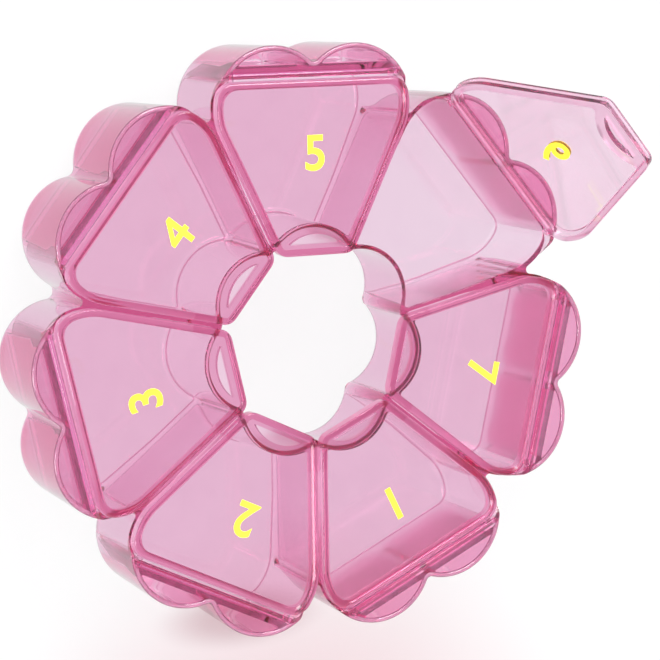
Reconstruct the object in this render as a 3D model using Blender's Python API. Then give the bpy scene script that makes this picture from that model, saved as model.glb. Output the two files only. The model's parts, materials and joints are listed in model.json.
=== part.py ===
"""Weekly pill organizer: a ring of seven heart-lobed cups with seven hinged lids, metres, +Z up.

The tray lies flat on its base. Each petal has its own frame: u runs outwards from the centre of the ring, v runs
anticlockwise along the hinge, and the angle of the petal is the way that u points in the plan.
"""

import math

import bmesh
import bpy
from mathutils import Matrix, Vector

# The ring
PETALS = 7
FIRST_ANGLE = math.radians(90.0)
PITCH = 2.0 * math.pi / PETALS
HALF_PITCH = PITCH / 2.0
TOP = 0.0275
DRAFT = math.tan(math.radians(1.6))
BASE_ROUND = 0.0026
RIM_ROUND = 0.0003

# Heart-shaped outer outline of one petal: two lobe arcs, a cleft between them and a valley to the next petal
LOBE_RADIUS = 0.01435
LOBE_ALONG_LINE = 0.05375
LOBE_LINE_GAP = 0.00007
CLEFT_ROUND = 0.00125
VALLEY_ROUND = 0.0010

# Walls of the cups
WALL = 0.0012
PARTITION = 0.0011
PARTITION_STRAIGHT_END = 0.040
FLOOR = 0.0013
FLOOR_ROUND = 0.0012
CUP_DRAFT = math.tan(math.radians(1.0))
CUP_CORNER = 0.0016
CUP_BACK_CORNER = 0.0024

# Finger notches around the centre hole
NOTCH_CENTRE = 0.0155
NOTCH_RADIUS = 0.0111
NOTCH_WALL = 0.0011
CUSP_ROUND = 0.0006

# Lids
LID_HEIGHT = 0.0030
SEAT_GAP = 0.0003
LID_SIDE_GAP = 0.00055
LID_TAB = 0.00615
LID_ROD_GAP = 0.00055
LID_SKIRT = 0.00165
LID_HINGE_SKIRT = 0.0018
LID_END_SKIRT = 0.0025
LID_RIB = 0.0016
LID_RIB_OVERHANG = 0.0006
LID_EDGE_ROUND = 0.0005
LID_HINGE_ROUND = 0.0011
LID_END_CORNER = 0.0022
LID_BACK_CORNER = 0.0030
PANEL_SUNK = 0.0005
PANEL = 0.0011
PANEL_SLOPE = 0.0003
OPEN_ANGLE = math.radians(113.0)
OPEN_PETAL = 1
FIRST_LID = 5

# Hinges
ROD_RADIUS = 0.00065
ROD_CLEARANCE = 0.0002
ROD_CHAMFER = 0.0002
ROD_DROP = 0.00105
ROD_END_COVER = 0.00036
ROD_BACK_GAP = 0.00025
BACK_WALL = 0.00204
BACK_RIM = 0.0014
BACK_RIM_SUNK = 0.0003
BACK_RIM_END = 0.0009
CHORD_LEDGE = 0.0011
EAR_WALL = 0.00126
EAR_EDGE = 0.00104
EAR_LIP_PAST = 0.0001
EAR_SLOPE = 0.00035
SLOT_OVERLAP = 0.0006
HOOK_RADIAL = 0.00065
HOOK_WIDTH = 0.0013
HOOK_INSET = 0.0004
HOOK_ROOT = 0.0016
HOOK_START = math.radians(205.0)
HOOK_OUTER_START = math.radians(250.0)
HOOK_END = math.radians(290.0)

# Lobe pockets behind the hinges
POCKET_FLOOR = 0.0016
POCKET_CORNER = 0.0010

# How far a cutter runs past the face that it opens
PAST = 0.0020

# Facets
LOBE_STEPS = 13
SMALL_STEPS = 3
NOTCH_STEPS = 9
SHOULDER_STEPS = 6
ROUND_STEPS = 3
ROD_STEPS = 20

# Heights that follow from the sizes above
TRAY_RIM = TOP - LID_HEIGHT - SEAT_GAP
LID_BOTTOM = TOP - LID_HEIGHT
PANEL_TOP = TOP - PANEL_SUNK
PANEL_UNDER = PANEL_TOP - PANEL
AXIS_HEIGHT = TOP - ROD_DROP
BACK_RIM_TOP = TOP - BACK_RIM_SUNK

# Where the lobes are: each stays just short of the line between two petals
LOBE_TO_LINE = LOBE_RADIUS + LOBE_LINE_GAP
LOBE_OUT = LOBE_ALONG_LINE * math.cos(HALF_PITCH) + LOBE_TO_LINE * math.sin(HALF_PITCH)
LOBE_SIDE = LOBE_ALONG_LINE * math.sin(HALF_PITCH) - LOBE_TO_LINE * math.cos(HALF_PITCH)
CLEFT_BOTTOM = LOBE_OUT + math.sqrt((LOBE_RADIUS + CLEFT_ROUND) ** 2 - LOBE_SIDE**2) - CLEFT_ROUND

# Where the hinge is, counted inwards from the cleft
TROUGH_OUTER = CLEFT_BOTTOM - BACK_WALL
POCKET_FACE = TROUGH_OUTER + BACK_RIM
CHORD_FACE = TROUGH_OUTER - CHORD_LEDGE
AXIS_OUT = TROUGH_OUTER - ROD_BACK_GAP - ROD_RADIUS
LID_HINGE_EDGE = AXIS_OUT - ROD_RADIUS - LID_ROD_GAP
EAR_LIP = LID_HINGE_EDGE + EAR_LIP_PAST
EAR_OUT = EAR_LIP - EAR_SLOPE

# Where the lid ends over its finger notch
LID_END = NOTCH_CENTRE + NOTCH_RADIUS - LID_TAB
LID_RIB_INNER = NOTCH_RADIUS - LID_RIB_OVERHANG


def shell_side(out):
    """How far the outer wall is from the centre line of its petal, past the middle of the lobe."""
    return LOBE_SIDE + math.sqrt(LOBE_RADIUS**2 - (out - LOBE_OUT) ** 2)


# Lengths along the hinge, up to the outer wall
TROUGH_HALF_LENGTH = shell_side(AXIS_OUT) - EAR_WALL
ROD_HALF_LENGTH = shell_side(AXIS_OUT) - ROD_END_COVER
EAR_SIDE = shell_side(EAR_OUT) - EAR_EDGE
BACK_RIM_HALF_LENGTH = TROUGH_HALF_LENGTH - BACK_RIM_END


def arc(centre, radius, start, end, steps):
    """Points of an arc, both ends included."""
    points = []
    for i in range(steps + 1):
        angle = start + (end - start) * i / steps
        points.append((centre[0] + radius * math.cos(angle), centre[1] + radius * math.sin(angle)))
    return points


def bend(start, corner, end, steps):
    """Points of a rounded corner between two points, neither of them included."""
    points = []
    for i in range(1, steps):
        t = i / steps
        weights = ((1 - t) ** 2, 2 * t * (1 - t), t * t)
        points.append(tuple(sum(w * p[k] for w, p in zip(weights, (start, corner, end))) for k in (0, 1)))
    return points


def towards(start, end, length):
    """The point at a given length from start on the way to end."""
    dx, dy = end[0] - start[0], end[1] - start[1]
    share = length / math.hypot(dx, dy)
    return (start[0] + dx * share, start[1] + dy * share)


def from_line(along, inward):
    """A point given along the line between two petals and inwards from it."""
    c, s = math.cos(HALF_PITCH), math.sin(HALF_PITCH)
    return (along * c + inward * s, along * s - inward * c)


def direction(origin, target):
    return math.atan2(target[1] - origin[1], target[0] - origin[0])


def mirrored(half):
    """A whole loop from its half at positive v, whose two ends lie on the centre line."""
    return half + [(u, -v) for u, v in reversed(half[1:-1])]


def turned(points, angle):
    c, s = math.cos(angle), math.sin(angle)
    return [(u * c - v * s, u * s + v * c) for u, v in points]


def petal_angle(index):
    return FIRST_ANGLE - PITCH * index


def heart_edge(inset):
    """Outer edge of one petal from its cleft to the middle of the valley, on the side of positive v."""
    radius, cleft, valley = LOBE_RADIUS - inset, CLEFT_ROUND + inset, VALLEY_ROUND + inset
    lobe = (LOBE_OUT, LOBE_SIDE)
    cleft_centre = (LOBE_OUT + math.sqrt((radius + cleft) ** 2 - LOBE_SIDE**2), 0.0)
    reach = math.sqrt((radius + valley) ** 2 - LOBE_TO_LINE**2)
    valley_centre = from_line(LOBE_ALONG_LINE + reach, 0.0)
    to_cleft, to_valley = direction(lobe, cleft_centre), direction(lobe, valley_centre)
    points = arc(cleft_centre, cleft, math.pi, direction(cleft_centre, lobe), SMALL_STEPS)
    points += arc(lobe, radius, to_cleft, to_valley, LOBE_STEPS)[1:]
    back = direction(valley_centre, lobe) % (2.0 * math.pi)
    points += arc(valley_centre, valley, back, HALF_PITCH + math.pi, SMALL_STEPS)[1:]
    return points


def ring_outline(inset):
    """The whole outer outline, all seven hearts, anticlockwise."""
    half = heart_edge(inset)
    petal = [(u, -v) for u, v in reversed(half[1:])] + half[:-1]
    loop = []
    for index in reversed(range(PETALS)):
        loop += turned(petal, petal_angle(index))
    return loop


def hole_outline(grown):
    """The centre hole: one arc for each finger notch, with softened points between them."""
    radius = NOTCH_RADIUS + grown
    centre_along, centre_in = NOTCH_CENTRE * math.cos(HALF_PITCH), NOTCH_CENTRE * math.sin(HALF_PITCH)
    cusp = from_line(centre_along + math.sqrt(radius**2 - centre_in**2), 0.0)
    end = direction((NOTCH_CENTRE, 0.0), cusp) - CUSP_ROUND / radius
    petal = arc((NOTCH_CENTRE, 0.0), radius, -end, end, NOTCH_STEPS)
    loop = []
    for index in reversed(range(PETALS)):
        loop += turned(petal, petal_angle(index))
    return loop


def cell_outline(notch, side, shoulder, back, corner, back_corner):
    """A loop with an arc for the notch, two sides, two shoulder arcs and a straight back."""
    centre, lobe = (NOTCH_CENTRE, 0.0), (LOBE_OUT, LOBE_SIDE)
    centre_along, centre_in = NOTCH_CENTRE * math.cos(HALF_PITCH), NOTCH_CENTRE * math.sin(HALF_PITCH)
    inner = from_line(centre_along + math.sqrt(notch**2 - (centre_in - side) ** 2), side)
    straight = from_line(PARTITION_STRAIGHT_END, side)
    run = LOBE_ALONG_LINE - PARTITION_STRAIGHT_END
    reach = math.hypot(run, LOBE_TO_LINE - side)
    tilt = math.atan2(LOBE_TO_LINE - side, run) - math.asin(min(1.0, shoulder / reach))
    side_normal = HALF_PITCH + math.pi / 2.0 - tilt
    outer = (back, LOBE_SIDE + math.sqrt(shoulder**2 - (back - LOBE_OUT) ** 2))
    notch_end = direction(centre, inner) - corner / notch
    shoulder_end = direction(lobe, outer) + back_corner / shoulder
    half = arc(centre, notch, 0.0, notch_end, NOTCH_STEPS // 2)
    half += bend(half[-1], inner, towards(inner, straight, corner), SMALL_STEPS)
    half += [towards(inner, straight, corner), straight]
    half += arc(lobe, shoulder, side_normal, shoulder_end, SHOULDER_STEPS)
    half += bend(half[-1], outer, (back, outer[1] - back_corner), SMALL_STEPS)
    half += [(back, outer[1] - back_corner), (back, 0.0)]
    return mirrored(half)


def cup_outline(inset):
    """Inside of a cup."""
    return cell_outline(
        NOTCH_RADIUS + NOTCH_WALL + inset,
        PARTITION / 2.0 + inset,
        LOBE_RADIUS - WALL - inset,
        CHORD_FACE - inset,
        CUP_CORNER,
        CUP_BACK_CORNER,
    )


def lid_outline(inset, end_inset, hinge_inset):
    """Edge of a lid: straight at both ends, with the shoulders of the cup below it."""
    side = LID_SIDE_GAP + inset
    radius = LOBE_TO_LINE - side
    lobe = (LOBE_OUT, LOBE_SIDE)
    back, front = LID_HINGE_EDGE - hinge_inset, LID_END + end_inset
    outer = (back, LOBE_SIDE + math.sqrt(radius**2 - (back - LOBE_OUT) ** 2))
    tip = (front, (front * math.sin(HALF_PITCH) - side) / math.cos(HALF_PITCH))
    along = from_line(LOBE_ALONG_LINE, side)
    corner = max(LID_END_CORNER - inset, LID_EDGE_ROUND)
    shoulder_end = direction(lobe, outer) + LID_BACK_CORNER / radius
    half = [(front, 0.0), (front, tip[1] - corner)]
    half += bend(half[-1], tip, towards(tip, along, corner), SMALL_STEPS)
    half += [towards(tip, along, corner)]
    half += arc(lobe, radius, HALF_PITCH + math.pi / 2.0, shoulder_end, SHOULDER_STEPS)
    half += bend(half[-1], outer, (back, outer[1] - LID_BACK_CORNER), SMALL_STEPS)
    half += [(back, outer[1] - LID_BACK_CORNER), (back, 0.0)]
    return mirrored(half)


def segment_outline(centre, radius, chord, corner, steps):
    """A circular segment beyond a chord across u, with clipped points."""
    reach = math.sqrt(radius**2 - (chord - centre[0]) ** 2)
    end = math.atan2(reach, chord - centre[0]) - corner / radius
    points = arc(centre, radius, -end, end, steps)
    return points + [(chord, centre[1] + reach - corner), (chord, centre[1] - reach + corner)]


def stack(mesh, loops):
    """A closed body from loops of equal length, each with its height, lowest first."""
    rings = [[mesh.verts.new((x, y, z)) for x, y in points] for z, points in loops]
    count = len(rings[0])
    for low, high in zip(rings, rings[1:]):
        for i in range(count):
            j = (i + 1) % count
            mesh.faces.new((low[i], low[j], high[j], high[i]))
    mesh.faces.new(list(reversed(rings[0])))
    mesh.faces.new(rings[-1])


def bar(mesh, profile, start, end):
    """A closed body with a profile in u and z, run along v."""
    rings = [[mesh.verts.new((u, v, z)) for u, z in profile] for v in (start, end)]
    count = len(profile)
    for i in range(count):
        j = (i + 1) % count
        mesh.faces.new((rings[0][i], rings[0][j], rings[1][j], rings[1][i]))
    mesh.faces.new(list(reversed(rings[0])))
    mesh.faces.new(rings[1])


def named_object(name, mesh, place=None):
    """An object from a bmesh, with outward normals."""
    bmesh.ops.recalc_face_normals(mesh, faces=mesh.faces)
    data = bpy.data.meshes.new(name)
    mesh.to_mesh(data)
    mesh.free()
    found = bpy.data.objects.new(name, data)
    bpy.context.scene.collection.objects.link(found)
    if place is not None:
        found.matrix_world = place
    return found


def cut(target, tool, operation="DIFFERENCE"):
    """Adds an exact Boolean with a tool that isn't drawn or rendered."""
    tool.hide_render = True
    tool.display_type = "WIRE"
    modifier = target.modifiers.new(tool.name, "BOOLEAN")
    modifier.operation = operation
    modifier.solver = "EXACT"
    modifier.object = tool


def plastic(target, colour, roughness, transmission):
    """Gives a piece a material of its own."""
    material = bpy.data.materials.new(target.name)
    material.use_nodes = True
    shader = material.node_tree.nodes["Principled BSDF"]
    shader.inputs["Base Color"].default_value = (*colour, 1.0)
    shader.inputs["Roughness"].default_value = roughness
    shader.inputs["Transmission Weight"].default_value = transmission
    material.diffuse_color = (*colour, 1.0)
    target.data.materials.append(material)


def smooth(target):
    target.data.shade_smooth()


def rounded_levels(radius, steps):
    """Heights and insets of a rounded lower edge, lowest first."""
    levels = []
    for i in range(steps + 1):
        angle = math.pi / 2.0 * i / steps
        levels.append((radius * (1.0 - math.cos(angle)), radius * (1.0 - math.sin(angle))))
    return levels


def tray_body():
    """Outer body of the tray, before anything is taken out of it."""
    levels = [(z, inset + DRAFT * (TOP - z)) for z, inset in rounded_levels(BASE_ROUND, ROUND_STEPS)]
    levels += [(TOP - RIM_ROUND, 0.0), (TOP, RIM_ROUND)]
    mesh = bmesh.new()
    stack(mesh, [(z, ring_outline(inset)) for z, inset in levels])
    return named_object("tray", mesh)


def hole_tool():
    """Centre hole with its seven finger notches, wider towards the base."""
    levels = [(z, inset + DRAFT * (TOP - z)) for z, inset in rounded_levels(BASE_ROUND, ROUND_STEPS)]
    levels = [(-PAST, levels[0][1])] + levels + [(TOP + PAST, 0.0)]
    mesh = bmesh.new()
    stack(mesh, [(z, hole_outline(grown)) for z, grown in levels])
    return named_object("cut_centre_hole", mesh)


def recess_tool():
    """Room above the cups for the lids, with a trough for each hinge rod."""
    corner = EAR_OUT * math.tan(HALF_PITCH)
    half = [(TROUGH_OUTER, TROUGH_HALF_LENGTH), (EAR_LIP, TROUGH_HALF_LENGTH), (EAR_OUT, EAR_SIDE)]
    petal = [(EAR_OUT, -corner)] + [(u, -v) for u, v in reversed(half)] + half
    loop = []
    for index in reversed(range(PETALS)):
        loop += turned(petal, petal_angle(index))
    mesh = bmesh.new()
    stack(mesh, [(TRAY_RIM, loop), (TOP + PAST, loop)])
    return named_object("cut_lid_room", mesh)


def cups_tool():
    """The seven compartments, with tapered walls and a rounded floor edge."""
    levels = [(FLOOR + z, inset) for z, inset in rounded_levels(FLOOR_ROUND, ROUND_STEPS)]
    levels = [(z, inset + CUP_DRAFT * (TRAY_RIM - z)) for z, inset in levels]
    levels.append((TRAY_RIM + PAST / 2.0, 0.0))
    mesh = bmesh.new()
    for index in range(PETALS):
        angle = petal_angle(index)
        stack(mesh, [(z, turned(cup_outline(inset), angle)) for z, inset in levels])
    return named_object("cut_cups", mesh)


def pockets_tool():
    """The two hollow lobes behind each hinge."""
    radius = LOBE_RADIUS - WALL
    mesh = bmesh.new()
    for index in range(PETALS):
        for side in (-1.0, 1.0):
            centre = (LOBE_OUT, side * LOBE_SIDE)
            loops = []
            for z in (POCKET_FLOOR, TOP + PAST):
                taper = CUP_DRAFT * max(TOP - z, 0.0)
                chord = POCKET_FACE + taper
                points = segment_outline(centre, radius - taper, chord, POCKET_CORNER, LOBE_STEPS)
                loops.append((z, turned(points, petal_angle(index))))
            stack(mesh, loops)
    return named_object("cut_lobe_pockets", mesh)


def back_rim_tool():
    """Takes the straight rim behind each hinge a little below the top."""
    near, far = TROUGH_OUTER - PAST / 2.0, POCKET_FACE + SEAT_GAP
    half = BACK_RIM_HALF_LENGTH
    corners = [(near, -half), (far, -half), (far, half), (near, half)]
    mesh = bmesh.new()
    for index in range(PETALS):
        loop = turned(corners, petal_angle(index))
        stack(mesh, [(BACK_RIM_TOP, loop), (TOP + PAST, loop)])
    return named_object("cut_back_rims", mesh)


def bearings_tool():
    """Open-topped bearings for both ends of each hinge rod."""
    radius = ROD_RADIUS + ROD_CLEARANCE
    profile = arc((AXIS_OUT, AXIS_HEIGHT), radius, math.pi, 2.0 * math.pi, ROD_STEPS // 2)
    profile += [(AXIS_OUT + radius, TOP + PAST), (AXIS_OUT - radius, TOP + PAST)]
    near = TROUGH_HALF_LENGTH - SLOT_OVERLAP
    far = shell_side(LOBE_OUT)
    mesh = bmesh.new()
    for index in range(PETALS):
        turn = Matrix.Rotation(petal_angle(index), 4, "Z")
        for start, end in ((near, far), (-far, -near)):
            part = bmesh.new()
            bar(part, profile, start, end)
            part.transform(turn)
            held = bpy.data.meshes.new("bearing")
            part.to_mesh(held)
            part.free()
            mesh.from_mesh(held)
            bpy.data.meshes.remove(held)
    return named_object("cut_bearings", mesh)


def build_tray():
    tray = tray_body()
    for tool in (hole_tool(), recess_tool(), cups_tool(), pockets_tool(), back_rim_tool(), bearings_tool()):
        cut(tray, tool)
    plastic(tray, (0.86, 0.42, 0.65), 0.12, 0.7)
    smooth(tray)


def lid_place(index):
    """Where the hinge axis of a lid is, with the lid as it rests."""
    swing = OPEN_ANGLE if index == OPEN_PETAL else 0.0
    axis = Matrix.Translation(Vector((AXIS_OUT, 0.0, AXIS_HEIGHT)))
    return Matrix.Rotation(petal_angle(index), 4, "Z") @ axis @ Matrix.Rotation(swing, 4, "Y")


def about_axis(loops):
    """Moves loops from the frame of the petal to that of the hinge axis."""
    return [(z - AXIS_HEIGHT, [(u - AXIS_OUT, v) for u, v in points]) for z, points in loops]


def round_inset(radius, drop):
    """How far a rounded edge stands back at a given drop below the top."""
    below = max(radius - drop, 0.0)
    return radius - math.sqrt(radius**2 - below**2)


def lid_body(name, place):
    """Lid before it is hollowed, with its upper edge rounded most along the hinge."""
    levels = [(LID_BOTTOM, 0.0, 0.0)]
    for i in range(ROUND_STEPS + 1):
        drop = LID_HINGE_ROUND * (1.0 - math.sin(math.pi / 2.0 * i / ROUND_STEPS))
        levels.append((TOP - drop, round_inset(LID_EDGE_ROUND, drop), round_inset(LID_HINGE_ROUND, drop)))
    mesh = bmesh.new()
    stack(mesh, about_axis([(z, lid_outline(edge, edge, back)) for z, edge, back in levels]))
    return named_object(name, mesh, place)


def hook_profile():
    """Section of a hook that goes under the rod from the hinge edge, about the axis."""
    inner = ROD_RADIUS + ROD_CLEARANCE
    outer = inner + HOOK_RADIAL
    points = arc((0.0, 0.0), outer, HOOK_OUTER_START, HOOK_END, SMALL_STEPS)
    points += arc((0.0, 0.0), inner, HOOK_END, HOOK_START, SMALL_STEPS * 2)
    return points + [(-HOOK_ROOT, inner * math.sin(HOOK_START)), (-HOOK_ROOT, outer * math.sin(HOOK_OUTER_START))]


def hooks_tool(name, place):
    outer = TROUGH_HALF_LENGTH - HOOK_INSET
    mesh = bmesh.new()
    for start, end in ((outer - HOOK_WIDTH, outer), (-outer, HOOK_WIDTH - outer)):
        bar(mesh, hook_profile(), start, end)
    return named_object(name, mesh, place)


def underside_tool(name, place):
    """Hollow under the panel, inside the skirt and the curved rib."""
    loop = cell_outline(
        LID_RIB_INNER + LID_RIB,
        LID_SIDE_GAP + LID_SKIRT,
        LOBE_TO_LINE - LID_SIDE_GAP - LID_SKIRT,
        LID_HINGE_EDGE - LID_HINGE_SKIRT,
        CUP_CORNER,
        LID_BACK_CORNER,
    )
    mesh = bmesh.new()
    stack(mesh, about_axis([(LID_BOTTOM - PAST, loop), (PANEL_UNDER, loop)]))
    return named_object(name, mesh, place)


def tab_tool(name, place):
    """Small hollow under the finger tab, between the curved rib and the end."""
    loop = segment_outline(
        (NOTCH_CENTRE, 0.0), LID_RIB_INNER, LID_END + LID_END_SKIRT, LID_EDGE_ROUND, NOTCH_STEPS
    )
    mesh = bmesh.new()
    stack(mesh, about_axis([(LID_BOTTOM - PAST, loop), (PANEL_UNDER, loop)]))
    return named_object(name, mesh, place)


def topside_tool(name, place):
    """Shallow sunk field of the panel inside the raised bead."""
    low = lid_outline(LID_SKIRT, LID_SKIRT, LID_HINGE_SKIRT)
    rise = (PAST + PANEL_SUNK) / PANEL_SUNK * PANEL_SLOPE
    high = lid_outline(LID_SKIRT - rise, LID_SKIRT - rise, LID_HINGE_SKIRT - rise)
    mesh = bmesh.new()
    stack(mesh, about_axis([(PANEL_TOP, low), (TOP + PAST, high)]))
    return named_object(name, mesh, place)


def lid_number(index):
    """Lids count anticlockwise round the ring from the one that rests lowest in the plan."""
    return (index + FIRST_LID - 1) % PETALS + 1


def build_lid(index):
    place, number = lid_place(index), lid_number(index)
    lid = lid_body(f"lid_{number}", place)
    cut(lid, hooks_tool(f"add_hooks_{number}", place), "UNION")
    cut(lid, underside_tool(f"cut_underside_{number}", place))
    cut(lid, tab_tool(f"cut_tab_{number}", place))
    cut(lid, topside_tool(f"cut_topside_{number}", place))
    plastic(lid, (0.88, 0.48, 0.70), 0.10, 0.7)
    smooth(lid)


def build_rod(index):
    """Hinge rod, with slightly broken ends."""
    mesh = bmesh.new()
    rings = []
    flat, full = ROD_HALF_LENGTH, ROD_HALF_LENGTH - ROD_CHAMFER
    for v, radius in ((-flat, -ROD_CHAMFER), (-full, 0.0), (full, 0.0), (flat, -ROD_CHAMFER)):
        circle = arc((0.0, 0.0), ROD_RADIUS + radius, 0.0, 2.0 * math.pi, ROD_STEPS)[:-1]
        rings.append([mesh.verts.new((x, v, z)) for x, z in circle])
    for low, high in zip(rings, rings[1:]):
        for i in range(ROD_STEPS):
            j = (i + 1) % ROD_STEPS
            mesh.faces.new((low[i], low[j], high[j], high[i]))
    mesh.faces.new(list(reversed(rings[0])))
    mesh.faces.new(rings[-1])
    rod = named_object(f"hinge_rod_{lid_number(index)}", mesh, lid_place(index))
    plastic(rod, (0.55, 0.08, 0.30), 0.15, 0.5)
    smooth(rod)


def main():
    for old in list(bpy.data.objects):
        bpy.data.objects.remove(old, do_unlink=True)
    build_tray()
    for index in range(PETALS):
        build_lid(index)
        build_rod(index)


main()
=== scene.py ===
import json
import math

import bmesh
import bpy
from mathutils import Matrix, Vector

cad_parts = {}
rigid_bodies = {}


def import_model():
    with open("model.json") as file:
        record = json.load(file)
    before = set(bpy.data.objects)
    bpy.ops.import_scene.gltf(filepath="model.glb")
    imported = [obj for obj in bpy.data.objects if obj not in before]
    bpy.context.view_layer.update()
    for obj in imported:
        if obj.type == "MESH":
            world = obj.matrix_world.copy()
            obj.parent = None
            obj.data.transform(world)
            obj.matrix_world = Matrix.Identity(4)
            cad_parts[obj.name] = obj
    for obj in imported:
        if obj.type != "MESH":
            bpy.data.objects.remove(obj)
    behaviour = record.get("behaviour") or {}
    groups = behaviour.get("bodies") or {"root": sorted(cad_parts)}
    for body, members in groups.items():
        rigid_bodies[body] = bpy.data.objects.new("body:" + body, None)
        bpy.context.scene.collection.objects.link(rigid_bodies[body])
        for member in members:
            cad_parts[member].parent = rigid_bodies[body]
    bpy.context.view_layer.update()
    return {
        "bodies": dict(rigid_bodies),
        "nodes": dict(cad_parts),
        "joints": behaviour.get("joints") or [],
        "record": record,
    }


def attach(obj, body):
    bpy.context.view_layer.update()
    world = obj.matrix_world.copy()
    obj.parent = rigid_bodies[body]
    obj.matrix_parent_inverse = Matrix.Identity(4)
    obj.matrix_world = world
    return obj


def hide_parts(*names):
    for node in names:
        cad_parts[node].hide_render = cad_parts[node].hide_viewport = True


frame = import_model()


# The tray: one injection moulding in clear pink plastic, with seven heart-lobed cups around an open centre.
# Each petal has its own frame, u outwards and v anticlockwise, and the walls lean in towards the base by the
# draft that lets the moulding leave its mould. Every upper edge is softly rounded.
PETALS = 7
HALF_PITCH = math.pi / PETALS
TOP = 0.0275
BASE_ROUND = 0.0026
DRAFT = math.tan(math.radians(1.6))
RIM_ROUND = 0.00055
RIM_BEAD_SKIN = 0.00003
EDGE_ROUND = 0.0003
OVERRUN = 0.002
SHORT_OVERRUN = 0.001

LOBE_RADIUS = 0.01435
LOBE_TO_LINE = 0.01442
LOBE_ALONG_LINE = 0.05375
LOBE_OUT = LOBE_ALONG_LINE * math.cos(HALF_PITCH) + LOBE_TO_LINE * math.sin(HALF_PITCH)
LOBE_SIDE = LOBE_ALONG_LINE * math.sin(HALF_PITCH) - LOBE_TO_LINE * math.cos(HALF_PITCH)
CLEFT_ROUND = 0.00125
VALLEY_ROUND = 0.0010

NOTCH_CENTRE = 0.0155
NOTCH_RADIUS = 0.0111
NOTCH_CUSP = 0.0006
SIDE_START = 0.040
TRAY_RIM = 0.0242
CHORD_FACE = 0.061984
AXIS_OUT = 0.062184
AXIS_HEIGHT = 0.02645
TROUGH_OUTER = 0.063084
TROUGH_HALF_LENGTH = 0.0213
POCKET_FACE = 0.064484


def petal_turn(index):
    return Matrix.Rotation(math.pi / 2.0 - 2.0 * HALF_PITCH * index, 4, "Z")


def arc(centre, radius, start, end, steps):
    """Points of an arc, both ends included."""
    angles = [start + (end - start) * i / steps for i in range(steps + 1)]
    return [(centre[0] + radius * math.cos(a), centre[1] + radius * math.sin(a)) for a in angles]


def bend(start, corner, end, steps=6):
    """Points of a rounded corner between two points, neither of them included."""
    points = []
    for i in range(1, steps):
        t = i / steps
        weights = ((1 - t) ** 2, 2 * t * (1 - t), t * t)
        points.append(tuple(sum(w * p[k] for w, p in zip(weights, (start, corner, end))) for k in (0, 1)))
    return points


def towards(start, end, length):
    share = length / math.dist(start, end)
    return (start[0] + (end[0] - start[0]) * share, start[1] + (end[1] - start[1]) * share)


def from_line(along, inward):
    """A point given along the line between two petals and inwards from it."""
    c, s = math.cos(HALF_PITCH), math.sin(HALF_PITCH)
    return (along * c + inward * s, along * s - inward * c)


def direction(origin, target):
    return math.atan2(target[1] - origin[1], target[0] - origin[0])


def both_sides(half):
    """A whole loop from its half at positive v, whose two ends lie on the centre line."""
    return half + [(u, -v) for u, v in reversed(half[1:-1])]


def round_the_ring(petal):
    loop = []
    for index in reversed(range(PETALS)):
        turn = petal_turn(index)
        loop += [tuple((turn @ Vector((u, v, 0.0))).xy) for u, v in petal]
    return loop


def petal_edge(inset):
    """The outer wall along one petal, anticlockwise."""
    radius, cleft, valley = LOBE_RADIUS - inset, CLEFT_ROUND + inset, VALLEY_ROUND + inset
    lobe = (LOBE_OUT, LOBE_SIDE)
    cleft_centre = (LOBE_OUT + math.sqrt((radius + cleft) ** 2 - LOBE_SIDE**2), 0.0)
    valley_centre = from_line(LOBE_ALONG_LINE + math.sqrt((radius + valley) ** 2 - LOBE_TO_LINE**2), 0.0)
    to_cleft, to_valley = direction(lobe, cleft_centre), direction(lobe, valley_centre)
    half = arc(cleft_centre, cleft, math.pi, direction(cleft_centre, lobe), 8)
    half += arc(lobe, radius, to_cleft, to_valley, 44)[1:]
    back = direction(valley_centre, lobe) % (2.0 * math.pi)
    half += arc(valley_centre, valley, back, HALF_PITCH + math.pi, 8)[1:]
    return [(u, -v) for u, v in reversed(half[1:])] + half[:-1]


def heart_outline(inset):
    return round_the_ring(petal_edge(inset))


def hole_outline(grown):
    """The centre hole, with one arc for each finger notch."""
    radius = NOTCH_RADIUS + grown
    along, inward = NOTCH_CENTRE * math.cos(HALF_PITCH), NOTCH_CENTRE * math.sin(HALF_PITCH)
    cusp = from_line(along + math.sqrt(radius**2 - inward**2), 0.0)
    end = direction((NOTCH_CENTRE, 0.0), cusp) - NOTCH_CUSP / radius
    return round_the_ring(arc((NOTCH_CENTRE, 0.0), radius, -end, end, 30))


def cell_outline(notch, side, shoulder, back, corner, back_corner):
    """An arc along the notch, two sides, two round shoulders and a straight back."""
    centre, lobe = (NOTCH_CENTRE, 0.0), (LOBE_OUT, LOBE_SIDE)
    along, inward = NOTCH_CENTRE * math.cos(HALF_PITCH), NOTCH_CENTRE * math.sin(HALF_PITCH)
    inner = from_line(along + math.sqrt(notch**2 - (inward - side) ** 2), side)
    straight = from_line(SIDE_START, side)
    run = LOBE_ALONG_LINE - SIDE_START
    reach = math.hypot(run, LOBE_TO_LINE - side)
    tilt = math.atan2(LOBE_TO_LINE - side, run) - math.asin(min(1.0, shoulder / reach))
    outer = (back, LOBE_SIDE + math.sqrt(shoulder**2 - (back - LOBE_OUT) ** 2))
    half = arc(centre, notch, 0.0, direction(centre, inner) - corner / notch, 14)
    half += bend(half[-1], inner, towards(inner, straight, corner))
    half += [towards(inner, straight, corner), straight]
    first, last = HALF_PITCH + math.pi / 2.0 - tilt, direction(lobe, outer) + back_corner / shoulder
    half += arc(lobe, shoulder, first, last, 22)
    half += bend(half[-1], outer, (back, outer[1] - back_corner))
    half += [(back, outer[1] - back_corner), (back, 0.0)]
    return both_sides(half)


def rounded_foot(radius, steps=6):
    """Heights and insets of a rounded lower edge, lowest first."""
    turns = [math.pi / 2.0 * i / steps for i in range(steps + 1)]
    return [(radius * (1.0 - math.cos(t)), radius * (1.0 - math.sin(t))) for t in turns]


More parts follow.
